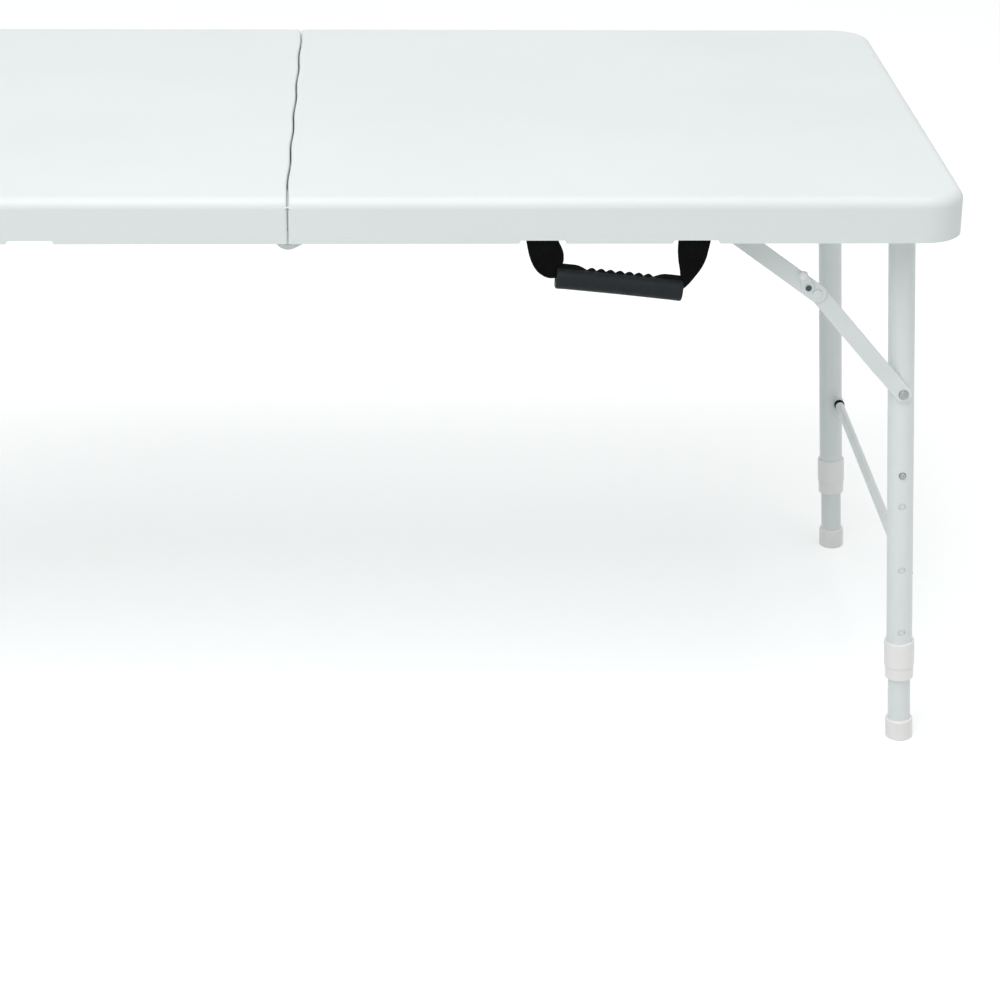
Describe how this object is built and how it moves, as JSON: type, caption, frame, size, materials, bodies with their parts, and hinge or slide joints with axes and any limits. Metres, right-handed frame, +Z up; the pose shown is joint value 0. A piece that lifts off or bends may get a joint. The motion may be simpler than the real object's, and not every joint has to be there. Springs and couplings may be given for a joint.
{
  "type": "folding table",
  "caption": "Fold-in-half moulded table with folding tube legs that slide for height, locking stays, seam hinges and a carry handle.",
  "frame": {"origin": "on the floor, midway between the ends and between the front and back edges, under the seam", "axes": "+X along the table away from the seam, over the half with the handle; +Y from the front edge to the back edge; +Z up"},
  "size_m": [1.22, 0.61, 0.58],
  "materials": {
    "painted_steel": "light grey powder coat",
    "moulded_top": "cool white blow-moulded polyethylene, fine grain",
    "white_plastic": "injection-moulded white plastic",
    "plated_steel": "bright zinc plate",
    "black_plastic": "black moulded grip",
    "black_webbing": "woven polypropylene webbing"
  },
  "bodies": {
    "right_half": {"top_right": "moulded_top", "rail_front_right": "painted_steel", "rail_back_right": "painted_steel", "hinge_leaves_right": "painted_steel", "rivets_right": "plated_steel", "rail_screws_right": "plated_steel", "stay_brackets_right": "painted_steel", "strap_ends": "black_webbing", "strap_plates": "plated_steel", "strap_screws": "plated_steel"},
    "hinge_pin_pair": {"hinge_pins": "plated_steel"},
    "left_half": {"top_left": "moulded_top", "rail_front_left": "painted_steel", "rail_back_left": "painted_steel", "hinge_leaves_left": "painted_steel", "rivets_left": "plated_steel", "rail_screws_left": "plated_steel", "stay_brackets_left": "painted_steel"},
    "handle": {"handle_strap": "black_webbing", "handle_grip": "black_plastic"},
    "leg_frame_right": {"leg_tube_front_right": "painted_steel", "leg_tube_back_right": "painted_steel", "pivot_tube_right": "painted_steel", "brace_bar_right": "painted_steel", "leg_collars_right": "white_plastic", "stay_pins_right": "plated_steel"},
    "inner_leg_front_right": {"inner_leg_front_right": "painted_steel", "foot_front_right": "white_plastic", "snap_spring_front_right": "plated_steel"},
    "snap_button_front_right": {"snap_button_front_right": "plated_steel"},
    "stay_upper_front_right": {"stay_upper_front_right": "painted_steel"},
    "stay_lower_front_right": {"stay_lower_front_right": "painted_steel"},
    "stay_latch_front_right": {"stay_latch_front_right": "plated_steel"},
    "inner_leg_back_right": {"inner_leg_back_right": "painted_steel", "foot_back_right": "white_plastic", "snap_spring_back_right": "plated_steel"},
    "snap_button_back_right": {"snap_button_back_right": "plated_steel"},
    "stay_upper_back_right": {"stay_upper_back_right": "painted_steel"},
    "stay_lower_back_right": {"stay_lower_back_right": "painted_steel"},
    "stay_latch_back_right": {"stay_latch_back_right": "plated_steel"},
    "leg_frame_left": {"leg_tube_front_left": "painted_steel", "leg_tube_back_left": "painted_steel", "pivot_tube_left": "painted_steel", "brace_bar_left": "painted_steel", "leg_collars_left": "white_plastic", "stay_pins_left": "plated_steel"},
    "inner_leg_front_left": {"inner_leg_front_left": "painted_steel", "foot_front_left": "white_plastic", "snap_spring_front_left": "plated_steel"},
    "snap_button_front_left": {"snap_button_front_left": "plated_steel"},
    "stay_upper_front_left": {"stay_upper_front_left": "painted_steel"},
    "stay_lower_front_left": {"stay_lower_front_left": "painted_steel"},
    "stay_latch_front_left": {"stay_latch_front_left": "plated_steel"},
    "inner_leg_back_left": {"inner_leg_back_left": "painted_steel", "foot_back_left": "white_plastic", "snap_spring_back_left": "plated_steel"},
    "snap_button_back_left": {"snap_button_back_left": "plated_steel"},
    "stay_upper_back_left": {"stay_upper_back_left": "painted_steel"},
    "stay_lower_back_left": {"stay_lower_back_left": "painted_steel"},
    "stay_latch_back_left": {"stay_latch_back_left": "plated_steel"}
  },
  "joints": [
    {"name": "fold_at_right", "type": "hinge", "parent": "right_half", "child": "hinge_pin_pair", "pos_m": [0, 0, 0.5378], "axis": [0, -1, 0], "range_deg": [0, 90]},
    {"name": "fold_at_left", "type": "hinge", "parent": "hinge_pin_pair", "child": "left_half", "pos_m": [0, 0, 0.5378], "axis": [0, -1, 0], "range_deg": [0, 90]},
    {"name": "handle_swing", "type": "hinge", "parent": "right_half", "child": "handle", "pos_m": [0.2965, -0.291, 0.538], "axis": [-1, 0, 0], "range_deg": [-30, 90]},
    {"name": "leg_fold_right", "type": "hinge", "parent": "right_half", "child": "leg_frame_right", "pos_m": [0.562, 0, 0.5535], "axis": [0, 1, 0], "range_deg": [0, 93.5]},
    {"name": "height_front_right", "type": "slide", "parent": "leg_frame_right", "child": "inner_leg_front_right", "axis": [0.061, 0, -0.9981], "range_m": [0, 0.1665], "deforming": ["snap_button_front_right"]},
    {"name": "button_front_right", "type": "slide", "parent": "inner_leg_front_right", "child": "snap_button_front_right", "axis": [0, 1, 0], "range_m": [0, 0.004], "stiffness_N_per_m": 800, "deforming": ["snap_spring_front_right"]},
    {"name": "stay_upper_front_right", "type": "hinge", "parent": "right_half", "child": "stay_upper_front_right", "pos_m": [0.3733, -0.25, 0.5535], "axis": [0, -1, 0], "range_deg": [0, 36.16]},
    {"name": "stay_lower_front_right", "type": "hinge", "parent": "leg_frame_right", "child": "stay_lower_front_right", "pos_m": [0.57327, -0.25, 0.36915], "axis": [0, 1, 0], "range_deg": [0, 37.12]},
    {"name": "latch_front_right", "type": "hinge", "parent": "stay_upper_front_right", "child": "stay_latch_front_right", "pos_m": [0.47624, -0.25, 0.47827], "axis": [0, 1, 0], "range_deg": [0, 20]},
    {"name": "height_back_right", "type": "slide", "parent": "leg_frame_right", "child": "inner_leg_back_right", "axis": [0.061, 0, -0.9981], "range_m": [0, 0.1665], "deforming": ["snap_button_back_right"]},
    {"name": "button_back_right", "type": "slide", "parent": "inner_leg_back_right", "child": "snap_button_back_right", "axis": [0, -1, 0], "range_m": [0, 0.004], "stiffness_N_per_m": 800, "deforming": ["snap_spring_back_right"]},
    {"name": "stay_upper_back_right", "type": "hinge", "parent": "right_half", "child": "stay_upper_back_right", "pos_m": [0.3733, 0.25, 0.5535], "axis": [0, -1, 0], "range_deg": [0, 36.16]},
    {"name": "stay_lower_back_right", "type": "hinge", "parent": "leg_frame_right", "child": "stay_lower_back_right", "pos_m": [0.57327, 0.25, 0.36915], "axis": [0, 1, 0], "range_deg": [0, 37.12]},
    {"name": "latch_back_right", "type": "hinge", "parent": "stay_upper_back_right", "child": "stay_latch_back_right", "pos_m": [0.47624, 0.25, 0.47827], "axis": [0, 1, 0], "range_deg": [0, 20]},
    {"name": "leg_fold_left", "type": "hinge", "parent": "left_half", "child": "leg_frame_left", "pos_m": [-0.562, 0, 0.5535], "axis": [0, -1, 0], "range_deg": [0, 93.5]},
    {"name": "height_front_left", "type": "slide", "parent": "leg_frame_left", "child": "inner_leg_front_left", "axis": [-0.061, 0, -0.9981], "range_m": [0, 0.1665], "deforming": ["snap_button_front_left"]},
    {"name": "button_front_left", "type": "slide", "parent": "inner_leg_front_left", "child": "snap_button_front_left", "axis": [0, 1, 0], "range_m": [0, 0.004], "stiffness_N_per_m": 800, "deforming": ["snap_spring_front_left"]},
    {"name": "stay_upper_front_left", "type": "hinge", "parent": "left_half", "child": "stay_upper_front_left", "pos_m": [-0.3733, -0.25, 0.5535], "axis": [0, 1, 0], "range_deg": [0, 36.16]},
    {"name": "stay_lower_front_left", "type": "hinge", "parent": "leg_frame_left", "child": "stay_lower_front_left", "pos_m": [-0.57327, -0.25, 0.36915], "axis": [0, -1, 0], "range_deg": [0, 37.12]},
    {"name": "latch_front_left", "type": "hinge", "parent": "stay_upper_front_left", "child": "stay_latch_front_left", "pos_m": [-0.47624, -0.25, 0.47827], "axis": [0, -1, 0], "range_deg": [0, 20]},
    {"name": "height_back_left", "type": "slide", "parent": "leg_frame_left", "child": "inner_leg_back_left", "axis": [-0.061, 0, -0.9981], "range_m": [0, 0.1665], "deforming": ["snap_button_back_left"]},
    {"name": "button_back_left", "type": "slide", "parent": "inner_leg_back_left", "child": "snap_button_back_left", "axis": [0, -1, 0], "range_m": [0, 0.004], "stiffness_N_per_m": 800, "deforming": ["snap_spring_back_left"]},
    {"name": "stay_upper_back_left", "type": "hinge", "parent": "left_half", "child": "stay_upper_back_left", "pos_m": [-0.3733, 0.25, 0.5535], "axis": [0, 1, 0], "range_deg": [0, 36.16]},
    {"name": "stay_lower_back_left", "type": "hinge", "parent": "leg_frame_left", "child": "stay_lower_back_left", "pos_m": [-0.57327, 0.25, 0.36915], "axis": [0, -1, 0], "range_deg": [0, 37.12]},
    {"name": "latch_back_left", "type": "hinge", "parent": "stay_upper_back_left", "child": "stay_latch_back_left", "pos_m": [-0.47624, 0.25, 0.47827], "axis": [0, -1, 0], "range_deg": [0, 20]}
  ],
  "couplings": [
    {"joint": "stay_upper_front_right", "follows": "leg_fold_right", "ratio": 0.38675},
    {"joint": "stay_lower_front_right", "follows": "leg_fold_right", "ratio": 0.39703},
    {"joint": "stay_upper_back_right", "follows": "leg_fold_right", "ratio": 0.38675},
    {"joint": "stay_lower_back_right", "follows": "leg_fold_right", "ratio": 0.39703},
    {"joint": "stay_upper_front_left", "follows": "leg_fold_left", "ratio": 0.38675},
    {"joint": "stay_lower_front_left", "follows": "leg_fold_left", "ratio": 0.39703},
    {"joint": "stay_upper_back_left", "follows": "leg_fold_left", "ratio": 0.38675},
    {"joint": "stay_lower_back_left", "follows": "leg_fold_left", "ratio": 0.39703}
  ]
}
